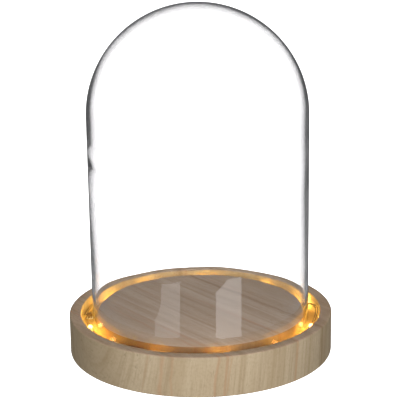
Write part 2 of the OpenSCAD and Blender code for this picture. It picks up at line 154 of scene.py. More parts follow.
def breakEdges(piece, width, segments, angle):
    edges = piece.modifiers.new("edges", "BEVEL")
    edges.width, edges.segments = width, segments
    edges.limit_method, edges.angle_limit = "ANGLE", math.radians(angle)
    edges.use_clamp_overlap = True
    return applyAll(piece)


def cutAway(piece, cutter):
    take(piece)
    cut = piece.modifiers.new("cut", "BOOLEAN")
    cut.operation, cut.solver, cut.object = "DIFFERENCE", "EXACT", cutter
    applyAll(piece)
    bpy.data.objects.remove(cutter)


def addBlock(name, low, high, cornerRound=0):
    low, high = Vector(low), Vector(high)
    bpy.ops.mesh.primitive_cube_add(size=1, location=(low + high) / 2)
    bpy.context.active_object.scale = high - low
    block = claim(name)
    if cornerRound:
        bevelEdges(block, lambda a, b: (a.xy - b.xy).length < tiny, cornerRound, 6)
    return block


def addRod(name, radius, low, high, sides=48):
    # a cylinder from one end point to the other
    low, high = Vector(low), Vector(high)
    bpy.ops.mesh.primitive_cylinder_add(vertices=sides, radius=radius, depth=(high - low).length,
                                        location=(low + high) / 2,
                                        rotation=(high - low).to_track_quat("Z", "Y").to_euler())
    return claim(name)


def addTube(name, path, diameter):
    line = bpy.data.curves.new(name, "CURVE")
    line.dimensions = "3D"
    line.bevel_depth, line.bevel_resolution, line.use_fill_caps = diameter / 2, 2, True
    spline = line.splines.new("POLY")
    spline.points.add(len(path) - 1)
    for point, place in zip(spline.points, path):
        point.co = (*place, 1)
    tube = bpy.data.objects.new(name, line)
    bpy.context.scene.collection.objects.link(tube)
    take(tube)
    bpy.ops.object.convert(target="MESH")
    return smooth(claim(name), 50)


def smoothPath(points, steps):
    # a curve through all the points, with this many steps from one to the next
    ends = [2 * points[0] - points[1]] + points + [2 * points[-1] - points[-2]]
    path = []
    for a, b, c, d in zip(ends, ends[1:], ends[2:], ends[3:]):
        for t in (k / steps for k in range(steps)):
            path.append(((2 * b) + (c - a) * t + (2 * a - 5 * b + 4 * c - d) * t * t
                         + (3 * b - a - 3 * c + d) * t ** 3) / 2)
    return path + [points[-1]]


def easeInOut(u):
    u = min(1, max(0, u))
    return u * u * (3 - 2 * u)


def settle(piece, slot, *nodes):
    # gives a finished piece its material and its body, and hides the nodes it stands for
    if not piece.data.materials:
        piece.data.materials.append(finishes[slot])
    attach(piece, bodyOfNode[nodes[0]])
    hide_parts(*nodes)
    return piece


def copyOf(piece, name, turn):
    other = piece.copy()
    other.data = piece.data.copy()
    other.name = other.data.name = name
    bpy.context.scene.collection.objects.link(other)
    other.data.transform(turn)
    return other


def put(tree, kind, inputs=(), **options):
    # adds a node; an input is either a plain value or a socket to link from
    made = tree.nodes.new(kind)
    for option, value in options.items():
        setattr(made, option, value)
    for socket, value in dict(inputs).items():
        if isinstance(value, bpy.types.NodeSocket):
            tree.links.new(value, made.inputs[socket])
        else:
            made.inputs[socket].default_value = value
    return made


def calc(tree, how, first, second=0):
    return put(tree, "ShaderNodeMath", {0: first, 1: second}, operation=how).outputs[0]


def remap(tree, value, fromLow, fromHigh, toLow, toHigh):
    return put(tree, "ShaderNodeMapRange", {0: value, 1: fromLow, 2: fromHigh, 3: toLow,
                                            4: toHigh}).outputs[0]


def scaled(tree, vector, factors):
    return put(tree, "ShaderNodeVectorMath", {0: vector, 1: factors},
               operation="MULTIPLY").outputs[0]


def axisOf(tree, vector, axis):
    return put(tree, "ShaderNodeSeparateXYZ", {0: vector}).outputs[axis]


def noise(tree, place, scale, detail, roughness=0.5):
    return put(tree, "ShaderNodeTexNoise", {"Vector": place, "Scale": scale, "Detail": detail,
                                            "Roughness": roughness}).outputs[0]


def blendColours(tree, factor, first, second, how="MIX"):
    first, second = ((*c, 1) if isinstance(c, tuple) else c for c in (first, second))
    return put(tree, "ShaderNodeMix", {0: factor, 6: first, 7: second}, data_type="RGBA",
               blend_type=how).outputs[2]


def mixShaders(tree, factor, first, second):
    return put(tree, "ShaderNodeMixShader", {0: factor, 1: first.outputs[0], 2: second.outputs[0]})


def colourRamp(tree, factor, stops, between="LINEAR"):
    made = put(tree, "ShaderNodeValToRGB", {0: factor})
    made.color_ramp.interpolation = between
    elements = made.color_ramp.elements
    elements[0].position, elements[0].color = stops[0][0], (*stops[0][1], 1)
    elements[1].position, elements[1].color = stops[-1][0], (*stops[-1][1], 1)
    for position, colour in stops[1:-1]:
        elements.new(position).color = (*colour, 1)
    return made.outputs[0]


def startMaterial(name, **plain):
    material = bpy.data.materials.new(name)
    material.use_nodes = True
    tree = material.node_tree
    shader = tree.nodes["Principled BSDF"]
    for socket, value in plain.items():
        shader.inputs[socket.replace("_", " ")].default_value = value
    return material, tree, shader


def objectPlace(tree):
    return put(tree, "ShaderNodeTexCoord").outputs["Object"]


def feedBump(tree, shader, height, strength, distance):
    bump = put(tree, "ShaderNodeBump", {"Height": height, "Strength": strength,
                                        "Distance": distance})
    tree.links.new(bump.outputs[0], shader.inputs["Normal"])


def makeFineTexture():
    # shared: a fine grain for the height, soft patches for sheen and tint, and drawn-out scuffs
    group = bpy.data.node_groups.new("fineTexture", "ShaderNodeTree")
    for name, kind in (("Place", "Vector"), ("Grain", "Float"), ("Patch", "Float")):
        group.interface.new_socket(name, in_out="INPUT", socket_type=f"NodeSocket{kind}")
    for name in ("Height", "Patches", "Scuffs"):
        group.interface.new_socket(name, in_out="OUTPUT", socket_type="NodeSocketFloat")
    inside = put(group, "NodeGroupInput").outputs
    scuffs = noise(group, scaled(group, inside["Place"], (1, 9, 3)), inside["Patch"], 8, 0.7)
    put(group, "NodeGroupOutput", {"Height": noise(group, inside["Place"], inside["Grain"], 4),
                                   "Patches": noise(group, inside["Place"], inside["Patch"], 3),
                                   "Scuffs": remap(group, scuffs, 0.55, 0.75, 0, 1)})
    return group


fineTexture = makeFineTexture()
# where most of each output of the shared texture lies
textureSpan = {"Height": (0.3, 0.7), "Patches": (0.3, 0.7), "Scuffs": (0, 1)}


def addTexture(tree, grain, patch):
    made = put(tree, "ShaderNodeGroup", node_tree=fineTexture)
    tree.links.new(objectPlace(tree), made.inputs["Place"])
    made.inputs["Grain"].default_value = grain
    made.inputs["Patch"].default_value = patch
    return made.outputs


def dress(tree, shader, texture, colour, rough, relief=None):
    # rough and relief begin with the output of the shared texture that they follow
    tree.links.new(colour, shader.inputs["Base Color"])
    source, low, high = rough
    roughness = remap(tree, texture[source], *textureSpan[source], low, high)
    tree.links.new(roughness, shader.inputs["Roughness"])
    if relief:
        source, strength, depth = relief
        feedBump(tree, shader, texture[source], strength, depth)


def mottled(name, grain, patch, tones, rough, relief=None, spread=0.2, scuff=None, **plain):
    # two tones that wander into each other; a finish that glows glows in the same tones
    material, tree, shader = startMaterial(name, **plain)
    texture = addTexture(tree, grain, patch)
    source, dark, light = tones
    colour = colourRamp(tree, texture[source], [(0.5 - spread, dark), (0.5 + spread, light)])
    if scuff:
        share, tone = scuff
        colour = blendColours(tree, remap(tree, texture["Scuffs"], 0, 1, 0, share), colour, tone)
    if "Emission_Strength" in plain:
        tree.links.new(colour, shader.inputs["Emission Color"])
    dress(tree, shader, texture, colour, rough, relief)
    return material


def metal(name, dark, light, rough, grain, depth):
    return mottled(name, grain, 90, ("Patches", dark, light), ("Height", *rough),
                   ("Height", 0.3, depth), scuff=(0.35, dark), Metallic=1.0)


def plastic(name, dark, light, rough):
    return mottled(name, 2200, 150, ("Patches", dark, light), ("Scuffs", *rough),
                   ("Height", 0.2, 0.04 * mm), Specular_IOR_Level=0.5)


glassLook = {
    "ior": 1.5,
    # how far the surface is seen edge on, and the painted shade there
    "edgeShades": [(0.6, (1, 1, 1)), (0.8, (0.965, 0.95, 0.975)), (0.92, (0.75, 0.74, 0.77)),
              (1, (0.3, 0.3, 0.31))],
    "shadow": (0.97, 0.97, 0.97, 1),
}


def clearGlass():
    # clear through the middle, with painted shade along the edges for the dim room that the slanted
    # wall shows
    material, tree, shader = startMaterial("clearGlass", Roughness=0.0, IOR=glassLook["ior"],
                                           Transmission_Weight=1.0)
    facing = put(tree, "ShaderNodeLayerWeight", {"Blend": 0.5}).outputs["Facing"]
    # painted shade: the glass is darkened the more it is seen edge on
    paintedShade = colourRamp(tree, facing, glassLook["edgeShades"])
    tree.links.new(paintedShade, shader.inputs["Base Color"])
    clear = put(tree, "ShaderNodeBsdfTransparent", {0: glassLook["shadow"]})
    shadowRay = put(tree, "ShaderNodeLightPath").outputs["Is Shadow Ray"]
    both = mixShaders(tree, shadowRay, shader, clear)
    tree.links.new(both.outputs[0], tree.nodes["Material Output"].inputs["Surface"])
    return material


woodLook = {
    "fibreTurn": -38,
    "lean": -7,
    "pale": (0.62, 0.50, 0.335),
    "warm": (0.53, 0.41, 0.26),
    "line": (0.36, 0.245, 0.14),
    "red": (0.52, 0.30, 0.17),
    "pore": (0.24, 0.165, 0.1),
    "roughness": (0.55, 0.75),
    "relief": 0.4,
    "reliefDepth": 0.12 * mm,
    "pitDepth": 0.8,
    # scale across, along and up the fibres, and detail
    "patterns": {"mottle": (900, 500, 700, 2), "rings": (140, 4, 6, 2), "lines": (640, 9, 16, 3),
                 "fibres": (2600, 70, 90, 3), "pores": (1700, 110, 300, 2), "reds": (260, 3, 5, 1)},
    "ringFade": (0.36, 0.64),
    # pattern, the values between which it fades in, strength, tone
    "layers": [("reds", 0.66, 0.74, 0.55, "red"), ("lines", 0.5, 0.75, 0.52, "line"),
               ("fibres", 0.48, 0.8, 0.4, "line"), ("pores", 0.64, 0.76, 0.4, "pore"),
               ("mottle", 0.45, 0.7, 0.22, "line")],
    # millimetres across the fibres, half width in millimetres, strength, tone
    "growthLines": [(-62.4, 0.9, 0.5, "red"), (-58.5, 0.7, 0.35, "red"), (-40.9, 0.8, 0.5, "red"),
                    (-35.3, 0.7, 0.35, "red"), (30.1, 1.6, 0.75, "line")],
    "lineCore": 0.2,
    "lineWander": 1 * mm,
    "wanderScale": 60,
    # painted shade that multiplies the wood's own colour: on the tops, which the lamps light at a
    # slant, and in the groove
    "rimTopShade": (1, 0.93, 0.98),
    "platform": (0.71, 0.67, 0.745),
    "rimWallShade": (0.62, 0.57, 0.43),
    "platformWall": (0.33, 0.24, 0.165),
    "shadeTone": (0.2, 0.1, 0.06),
    "shade": 0.6,
    "shadeFrom": -30 * mm,
    "shadeTo": 20 * mm,
    "fade": 0.3 * mm,
}


def turnedWood():
    # quarter-sawn board: upright growth layers, fibres running back left to front right
    look = woodLook
    material, tree, shader = startMaterial("turnedWood", Specular_IOR_Level=0.2)
    place = objectPlace(tree)
    turn = (0, math.radians(look["lean"]), math.radians(look["fibreTurn"]))
    turned = put(tree, "ShaderNodeMapping", {"Vector": place, "Rotation": turn}).outputs[0]
    patterns = {name: noise(tree, scaled(tree, turned, scales), 1, detail)
                for name, (*scales, detail) in look["patterns"].items()}
    rings = remap(tree, patterns["rings"], *look["ringFade"], 0, 1)
    colour = blendColours(tree, rings, look["warm"], look["pale"])
    for name, begins, full, strength, tone in look["layers"]:
        share = remap(tree, patterns[name], begins, full, 0, strength)
        colour = blendColours(tree, share, colour, look[tone])
    wander = remap(tree, noise(tree, place, look["wanderScale"], 2), 0.3, 0.7,
                   -look["lineWander"], look["lineWander"])
    across = calc(tree, "ADD", axisOf(tree, turned, "X"), wander)
    for distance, width, strength, tone in look["growthLines"]:
        away = calc(tree, "ABSOLUTE", calc(tree, "SUBTRACT", across, distance * mm))
        share = remap(tree, away, look["lineCore"] * width * mm, width * mm, strength, 0)
        colour = blendColours(tree, share, colour, look[tone])

    # painted shade on what faces up, in one way on the platform and in another outside it
    radius = put(tree, "ShaderNodeVectorMath", {0: scaled(tree, place, (1, 1, 0))},
                 operation="LENGTH").outputs["Value"]
    onPlatform = remap(tree, radius, grooveInner - look["fade"], grooveInner, 1, 0)
    paintedShade = blendColours(tree, onPlatform, look["rimTopShade"], look["platform"])
    up = axisOf(tree, put(tree, "ShaderNodeTexCoord").outputs["Normal"], "Z")
    # painted shade: the tops are darkened by how far they face up
    face = blendColours(tree, remap(tree, up, 0.4, 0.8, 0, 1), (1, 1, 1), paintedShade)
    colour = blendColours(tree, 1.0, colour, face, "MULTIPLY")

    # painted shade in the groove: its walls are darker and warmer, and the platform's wall is
    # darkest of all at the left
    height = axisOf(tree, place, "Z")
    deep = remap(tree, height, woodHigh.z - 0.12 * mm, woodHigh.z - 0.03 * mm, 1, 0)
    wide = remap(tree, radius, grooveOuter + 0.2 * mm, grooveOuter + 0.6 * mm, 1, 0)
    above = remap(tree, height, grooveZ - mm, grooveZ - 0.5 * mm, 0, 1)
    cut = calc(tree, "MULTIPLY", calc(tree, "MULTIPLY", deep, wide), above)
    middle = (grooveInner + glassRadius) / 2
    nearPlatform = remap(tree, radius, middle, middle + look["fade"], 1, 0)
    # painted shade on the rim's wall and on the platform's wall
    wall = blendColours(tree, nearPlatform, look["rimWallShade"], look["platformWall"])
    shade = remap(tree, axisOf(tree, place, "X"), look["shadeFrom"], look["shadeTo"],
                  look["shade"], 0)
    wall = blendColours(tree, calc(tree, "MULTIPLY", nearPlatform, shade), wall, look["shadeTone"])
    colour = blendColours(tree, cut, colour, blendColours(tree, 1.0, colour, wall, "MULTIPLY"))
    tree.links.new(colour, shader.inputs["Base Color"])
    roughness = remap(tree, patterns["lines"], 0.3, 0.7, *look["roughness"])
    tree.links.new(roughness, shader.inputs["Roughness"])
    pits = remap(tree, patterns["pores"], 0.6, 0.75, 0, look["pitDepth"])
    feedBump(tree, shader, calc(tree, "SUBTRACT", patterns["fibres"], pits), look["relief"],
             look["reliefDepth"])
    return material


def cellJacket():
    # plain jacket in two tones, the broad band by the flat end and a thin line between them
    look = {"light": (0.58, 0.36, 0.12), "line": (0.7, 0.7, 0.66), "dark": (0.016, 0.045, 0.035),
            "lineFrom": 0.3, "lineTo": 0.315, "scuff": (0.3, 0.3, 0.3)}
    material, tree, shader = startMaterial("cellJacket", Coat_Weight=0.6, Coat_Roughness=0.08,
                                           Specular_IOR_Level=0.5)
    texture = addTexture(tree, 1500, 60)
    share = put(tree, "ShaderNodeAttribute", attribute_name="alongCell").outputs["Fac"]
    bands = colourRamp(tree, share, [(0, look["light"]), (look["lineFrom"], look["line"]),
                                     (look["lineTo"], look["dark"])], "CONSTANT")
    worn = remap(tree, texture["Scuffs"], 0, 1, 0, 0.2)
    dress(tree, shader, texture, blendColours(tree, worn, bands, look["scuff"]),
          ("Patches", 0.22, 0.36), ("Patches", 0.12, 0.1 * mm))
    return material


def resistorBody():
    # lacquered body with plain colour bands round it, between its two wires
    look = {"body": (0.55, 0.36, 0.17), "steel": (0.6, 0.6, 0.58), "first": (0.25, 0.02, 0.01),
            "second": (0.2, 0.02, 0.01), "third": (0.06, 0.025, 0.01), "last": (0.5, 0.33, 0.08),
            "stain": (0.2, 0.15, 0.1),
            # where each begins, as a share of the length
            "bands": [(0, "steel"), (0.1, "body"), (0.2, "first"), (0.29, "body"),
                      (0.38, "second"), (0.47, "body"), (0.55, "third"), (0.64, "body"),
                      (0.78, "last"), (0.86, "body"), (0.94, "steel")]}
    low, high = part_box("series_resistor")
    material, tree, shader = startMaterial("resistorBody", Coat_Weight=0.8, Coat_Roughness=0.1)
    texture = addTexture(tree, 2500, 500)
    share = remap(tree, axisOf(tree, objectPlace(tree), "Y"), low.y, high.y, 0, 1)
    stops = [(start, look[tone]) for start, tone in look["bands"]]
    colour = colourRamp(tree, share, stops, "CONSTANT")
    stained = remap(tree, texture["Patches"], 0.3, 0.7, 0, 0.2)
    dress(tree, shader, texture, blendColours(tree, stained, colour, look["stain"]),
          ("Height", 0.25, 0.4))
    return material


finishes = {
    "clear_glass": clearGlass(),
    "turned_wood": turnedWood(),
    "foot_felt": mottled(
        "footFelt", grain=2600, patch=300, rough=("Patches", 0.85, 1),
        tones=("Height", (0.04, 0.037, 0.034), (0.16, 0.15, 0.14)),
        relief=("Height", 0.8, 0.3 * mm), Sheen_Weight=0.4, Specular_IOR_Level=0.2),
    "enamelled_wire": mottled(
        "enamelledWire", grain=900, patch=120, spread=0.15,
        tones=("Patches", (0.05, 0.022, 0.01), (0.13, 0.055, 0.02)),
        rough=("Height", 0.25, 0.45), relief=("Height", 0.2, 0.05 * mm),
        Metallic=0.3, Coat_Roughness=0.15, Coat_Weight=0.4),
    "led_chip": mottled(
        "ledChip", grain=6000, patch=1500, tones=("Height", (0.8, 0.62, 0.2), (0.98, 0.85, 0.4)),
        rough=("Patches", 0.4, 0.6), Emission_Strength=4),
    "led_resin": mottled(
        "ledResin", grain=1200, patch=400, tones=("Patches", (1.0, 0.50, 0.13), (1.0, 0.60, 0.20)),
        rough=("Height", 0.1, 0.25), Emission_Strength=6, Coat_Weight=0.5, Coat_Roughness=0.05),
    "hot_glue": mottled(
        "hotGlue", grain=500, patch=160, tones=("Patches", (0.55, 0.51, 0.42), (0.7, 0.67, 0.6)),
        rough=("Height", 0.2, 0.4), relief=("Patches", 0.5, 0.4 * mm), Coat_Weight=0.3,
        Subsurface_Weight=0.5, Subsurface_Scale=1, Subsurface_Radius=(2 * mm, 1.8 * mm, 1.4 * mm)),
    "black_plastic": mottled(
        "blackPlastic", grain=3200, patch=45, spread=0.15, scuff=(0.25, (0.12, 0.12, 0.12)),
        tones=("Patches", (0.016, 0.016, 0.017), (0.034, 0.034, 0.036)),
        rough=("Patches", 0.42, 0.6), relief=("Height", 0.35, 0.08 * mm), Specular_IOR_Level=0.45),
    "screw_steel": metal("screwSteel", (0.42, 0.42, 0.42), (0.66, 0.66, 0.65), (0.25, 0.45),
                         1800, 0.04 * mm),
    "cell_jacket": cellJacket(),
    "contact_steel": metal("contactSteel", (0.5, 0.49, 0.46), (0.72, 0.71, 0.68), (0.18, 0.36),
                           1200, 0.03 * mm),
    "red_lead": plastic("redLead", (0.42, 0.015, 0.01), (0.58, 0.03, 0.02), (0.3, 0.5)),
    "black_lead": plastic("blackLead", (0.012, 0.012, 0.012), (0.03, 0.03, 0.03), (0.3, 0.5)),
    "resistor_body": resistorBody(),
    "switch_steel": metal("switchSteel", (0.46, 0.46, 0.45), (0.68, 0.68, 0.66), (0.2, 0.38),
                          1500, 0.03 * mm),
    "switch_board": plastic("switchBoard", (0.2, 0.08, 0.03), (0.3, 0.13, 0.05), (0.5, 0.7)),
    "switch_knob": plastic("switchKnob", (0.62, 0.62, 0.6), (0.74, 0.74, 0.72), (0.35, 0.5)),
}
print("materials made:", len(finishes))


glassShape = {
    "segments": 160,
    "rows": 40,
    "rimRound": 0.4 * mm,
    "ripple": 0.12 * mm,
    "rippleSize": 0.04,
    # shares of the wall that are missing at the crown, below the swirl and in its waves
    "crownLoss": 0.52,
    "dropLoss": 0.4,
    "waveLoss": 0.35,
    "thinsBelowShoulder": 20 * mm,
    "thinsOverRadius": 0.7,
    "swirlZ": 118 * mm,
    "swirlWidth": 60,
    "swirlDrop": 25 * mm,
    "swirlReach": 6 * mm,
    "waveLength": 2.4 * mm,
    "fullFoot": 30 * mm,
    "footFade": 40 * mm,
}


def blownShare(place, crownZ):
    # the share of the full wall left at a point: thinner to the crown, and in a swirl at the left
    g = glassShape
    early = g["thinsBelowShoulder"]
    rise = easeInOut((place.z - crownZ + early) / (g["thinsOverRadius"] * glassRadius + early))
    toSwirl = abs(math.degrees(math.atan2(place.y, -place.x)))
    patch = easeInOut(1 - toSwirl / g["swirlWidth"])
    drop = easeInOut((g["swirlZ"] - place.z) / g["swirlDrop"])
    foot = easeInOut((place.z - grooveZ - g["fullFoot"]) / g["footFade"])
    wave = 0.5 + 0.5 * math.cos((place.z - g["swirlZ"]) / g["waveLength"])
    near = math.exp(-((place.z - g["swirlZ"]) / g["swirlReach"]) ** 2)
    swirl = g["dropLoss"] * drop + g["waveLoss"] * near * wave
    return 1 - g["crownLoss"] * rise - patch * foot * swirl


def makeGlassDome():
    # half a sphere, its edge drawn down to the rim, then given its wall and a slight waviness
    g = glassShape
    crownZ = glassHigh.z - glassRadius
    bpy.ops.mesh.primitive_uv_sphere_add(segments=g["segments"], ring_count=g["segments"] // 2,
                                         radius=glassRadius, location=(0, 0, crownZ))
    dome = claim("glassDome")
    selectFaces(dome, lambda centre, normal: centre.z < crownZ)
    bpy.ops.mesh.delete(type="FACE")
    leaveEdit()
    selectEdges(dome, lambda a, b: max(abs(a.z - crownZ), abs(b.z - crownZ)) < tiny)
    for row in range(g["rows"]):
        extrude(0, 0, (grooveZ - crownZ) / g["rows"])
    bpy.ops.mesh.select_all(action="SELECT")
    bpy.ops.mesh.remove_doubles(threshold=0.01 * mm)
    bpy.ops.mesh.normals_make_consistent(inside=False)
    leaveEdit()
    blown = dome.vertex_groups.new(name="blownWall")
    for point in dome.data.vertices:
        blown.add([point.index], blownShare(point.co, crownZ), "REPLACE")
    wall = dome.modifiers.new("wall", "SOLIDIFY")
    wall.thickness, wall.offset, wall.use_even_offset = glassWall, -1, True
    wall.vertex_group, wall.thickness_vertex_group = blown.name, 0
    applyAll(dome)
    dome.vertex_groups.clear()
    for radius in (glassRadius, glassRadius - glassWall):
        bevelEdges(dome, onCircle(radius, grooveZ), g["rimRound"], 3)
    ripple = bpy.data.textures.new("glassRipple", "CLOUDS")
    ripple.noise_scale, ripple.noise_depth = g["rippleSize"], 1
    waves = dome.modifiers.new("waves", "DISPLACE")
    waves.texture, waves.strength, waves.mid_level = ripple, g["ripple"], 0.5
    waves.texture_coords = "LOCAL"
    applyAll(dome)
    return settle(smooth(dome, 40), "clear_glass", "glass_dome")


makeGlassDome()
print("glass dome made")


def onRing(angle, radius, z):
    turn = math.radians(angle)
    return Vector((radius * math.cos(turn), radius * math.sin(turn), z))


lightString = {
    "wire": 0.5 * mm,
    "pitch": 1.1 * mm,
    "holeAngle": 170.5,
    "hole": 5 * mm,
    "channel": 4 * mm,
    "channelStart": 38 * mm,
    "wireRise": 1.8 * mm,
    "wireStart": 3 * mm,
    "bendStart": 12 * mm,
    "bend": 2.5 * mm,
    "emergeHeight": 1.5 * mm,
    "emergeRadius": 2.2 * mm,
    "firstTurn": 3.5,
    "slack": 0.3 * mm,
    "tailTurn": 366,
    "tailSide": 0.6,
    "steps": {"bend": 4, "emerge": 3, "leadIn": 3, "bow": 5, "tail": 7},
    "bowUp": [0.2, 0.3, 0.15, 0.3, 0.1, 0.5, 0.2, 0.3, 0.15, 0.35],
    "bowSide": [0.5, -0.6, 0.4, -0.5, 0.7, 0.8, -0.5, 0.45, -0.7, 0.5],
}
wireZ = trayLow.z + lightString["wireRise"]

baseShape = {
    "segments": 192,
    "outerRound": 0.9 * mm,
    "grooveChamfer": 0.4 * mm,
    "pocketRoom": 0.3 * mm,
    "rebateRound": 4 * mm,
    "pocketRound": 1.5 * mm,
    "earInset": 4 * mm,
    "doorRoom": 0.4 * mm,
    "wireHoleDepth": 20 * mm,
    "screwHole": 1.2 * mm,
    "screwDepth": 9 * mm,
    "screwInset": 3.7 * mm,
}


def makeTurnedBase():
    b = baseShape
    room, channel = b["pocketRoom"], lightString["channel"]
    below = woodLow.z - mm
    base = addRod("turnedBase", woodRadius, (0, 0, woodLow.z), (0, 0, woodHigh.z), b["segments"])
    selectFaces(base, lambda centre, normal: normal.z > 0.9)
    bpy.ops.mesh.inset(thickness=rimWidth)
    bpy.ops.mesh.inset(thickness=grooveOuter - grooveInner)
    leaveEdit()
    selectFaces(base, lambda centre, normal:
                normal.z > 0.9 and grooveInner < centre.xy.length < grooveOuter)
    extrude(0, 0, grooveZ - woodHigh.z)
    leaveEdit()
    for radius in (grooveInner, grooveOuter):
        bevelEdges(base, onCircle(radius, woodHigh.z), b["grooveChamfer"], 3)
    for height in (woodLow.z, woodHigh.z):
        bevelEdges(base, onCircle(woodRadius, height), b["outerRound"], 5)
    earY = bezelHigh.y - b["earInset"] + room
    cutAway(base, addBlock("rebate", (bezelLow.x - room, bezelLow.y - room, below),
                           (bezelHigh.x + room, bezelHigh.y + room, trayLow.z),
                           b["rebateRound"] + room))
    cutAway(base, addBlock("pocket", (trayLow.x - room, trayLow.y - room, below),
                           (trayHigh.x + room, trayHigh.y + room, trayHigh.z + room),
                           b["pocketRound"]))
    cutAway(base, addBlock("hingePocket", (trayHigh.x - mm, -earY, below),
                           (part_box("battery_door")[1].x + b["doorRoom"], earY,
                            bezelHigh.z + room)))
    trench = addBlock("channel", (lightString["channelStart"], -channel / 2, below),
                      (ringRadius, channel / 2, wireZ + channel / 2))
    trench.data.transform(Matrix.Rotation(math.radians(lightString["holeAngle"]), 4, "Z"))
    cutAway(base, trench)
    hole = onRing(lightString["holeAngle"], ringRadius, below)
    cutAway(base, addRod("wireHole", lightString["hole"] / 2, hole,
                         hole + Vector((0, 0, b["wireHoleDepth"]))))
    for x in (bezelLow.x + b["screwInset"], bezelHigh.x - b["screwInset"]):
        for y in (bezelLow.y + b["screwInset"], bezelHigh.y - b["screwInset"]):
            cutAway(base, addRod("screwHole", b["screwHole"], (x, y, bezelLow.z),
                                 (x, y, bezelLow.z + b["screwDepth"]), 24))
    return settle(smooth(base, 30), "turned_wood", "wood_base")


footShape = {"edge": 0.3 * mm, "sides": 64}


def makeFeet():
    for number in range(1, 5):
        low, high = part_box(f"foot_pad_{number}")
        middle = (low + high) / 2
        foot = addRod(f"feltFoot{number}", (high.x - low.x) / 2, (middle.x, middle.y, low.z),
                      (middle.x, middle.y, high.z), footShape["sides"])
        bevelEdges(foot, lambda a, b: abs(a.z - b.z) < tiny and a.z < low.z + tiny,
                   footShape["edge"], 3)
        settle(smooth(foot, 50), "foot_felt", f"foot_pad_{number}")


beadShape = {
    "diameter": 2.6 * mm,
    "length": 4.4 * mm,
    "tips": 0.6 * mm,
    "backPull": 0.45 * mm,
    "frontPull": 0.15 * mm,
    "pullReach": 1.3 * mm,
    "segments": 32,
    "rings": 20,
}
wiresRoom = lightString["pitch"] / 2 + lightString["wire"] / 2 + lightString["slack"]
sideRoom = (grooveOuter - glassRadius) / 2 - wiresRoom
liftRoom = woodHigh.z - grooveZ - beadShape["diameter"]


def findBeads():
    # each light's place along the ring in degrees, counted on from the wire hole, and its height
    spots = []
    while f"led_bead_{len(spots) + 1}" in frame["nodes"]:
        low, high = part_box(f"led_bead_{len(spots) + 1}")
        middle = (low + high) / 2
        angle = math.degrees(math.atan2(middle.y, middle.x))
        while angle < (spots[-1][0] if spots else lightString["holeAngle"]):
            angle += 360
        spots.append((angle, middle.z))
    return spots


beads = findBeads()


def radial(angle):
    return onRing(angle, 1, 0)


def along(angle):
    return onRing(angle + 90, 1, 0)


def quarterTurn(steps):
    return [math.pi / 2 * k / steps for k in range(steps + 1)]


def stretch(start, end, up, sideways, steps):
    # from one light to the next, bowed up and to one side by shares of the room there is
    stations = []
    for u in (k / (steps + 1) for k in range(1, steps + 1)):
        angle = start[0] + (end[0] - start[0]) * u
        swell = math.sin(math.pi * u) ** 2
        radius = ringRadius + sideRoom * sideways * swell
        z = start[1] + (end[1] - start[1]) * easeInOut(u) + liftRoom * up * swell
        stations.append((onRing(angle, radius, z), radial(angle)))
    return stations


def stringStations():
    # the line between the two wires, with the direction in which they lie side by side
    s = lightString
    hole, bend, emerge, steps = s["holeAngle"], s["bend"], s["emergeRadius"], s["steps"]
    out, turn, down = radial(hole), along(hole), Vector((0, 0, -1))
    overZ = grooveZ + s["emergeHeight"]
    straight = (s["wireStart"] - trayLow.x, ringRadius - s["bendStart"])
    stations = [(onRing(hole, radius, wireZ), down) for radius in straight]
    for a in quarterTurn(steps["bend"]):
        sine, cosine = math.sin(a), math.cos(a)
        place = onRing(hole, ringRadius - bend * (1 - sine), wireZ + bend * (1 - cosine))
        stations.append((place, out * sine + down * cosine))
    for a in quarterTurn(steps["emerge"]):
        place = onRing(hole, ringRadius, overZ + emerge * math.sin(a))
        stations.append((place + turn * emerge * (1 - math.cos(a)), out))
    overZ += emerge
    stations += stretch((hole + s["firstTurn"], overZ), beads[0], 0, 0, steps["leadIn"])
    half = beadShape["length"] / 2 + s["slack"]
    for i, (angle, z) in enumerate(beads):
        for side in (-1, 1):
            place = onRing(angle, ringRadius, z) + side * half * along(angle)
            stations.append((place, radial(angle)))
        if i + 1 < len(beads):
            stations += stretch(beads[i], beads[i + 1], s["bowUp"][i], s["bowSide"][i],
                                steps["bow"])
    lastAngle, lastZ = beads[-1]
    tailAngle, tailZ = hole + s["tailTurn"], overZ + s["wire"] + s["slack"]
    for u in (k / steps["tail"] for k in range(1, steps["tail"] + 1)):
        swing = easeInOut(2 * u)
        angle = lastAngle + (tailAngle - lastAngle) * u
        radius = ringRadius + sideRoom * s["tailSide"] * swing
        stations.append((onRing(angle, radius, lastZ + (tailZ - lastZ) * swing), radial(angle)))
    return stations


def makeString():
    shellLow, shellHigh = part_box("switch_shell")
    resistorLow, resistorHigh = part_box("series_resistor")
    x, y = (shellLow.x + shellHigh.x) / 2, resistorHigh.y + tiny
    z = (resistorLow.z + resistorHigh.z) / 2
    # the ends in the tray, from the resistor and from the black lead
    ends = {
        "positive": [(x, y, z), (x, y + 0.7 * mm, z), (x - mm, y + 1.5 * mm, z - mm),
                     (x - 3 * mm, y + 1.8 * mm, wireZ + 1.3 * mm)],
        "negative": [(x - 1.9 * mm, y + 5 * mm, trayLow.z + 3.2 * mm),
                     (x - 3.2 * mm, y + 3.2 * mm, trayLow.z + 1.7 * mm)],
    }
    for pole, side in (("positive", -1), ("negative", 1)):
        apart = side * lightString["pitch"] / 2
        strand = [place + apart * across for place, across in stringStations()]
        wire = addTube(f"{pole}StringWire", smoothPath([Vector(p) for p in ends[pole]] + strand, 4),
                       lightString["wire"])
        settle(wire, "enamelled_wire", f"string_wire_{pole}")


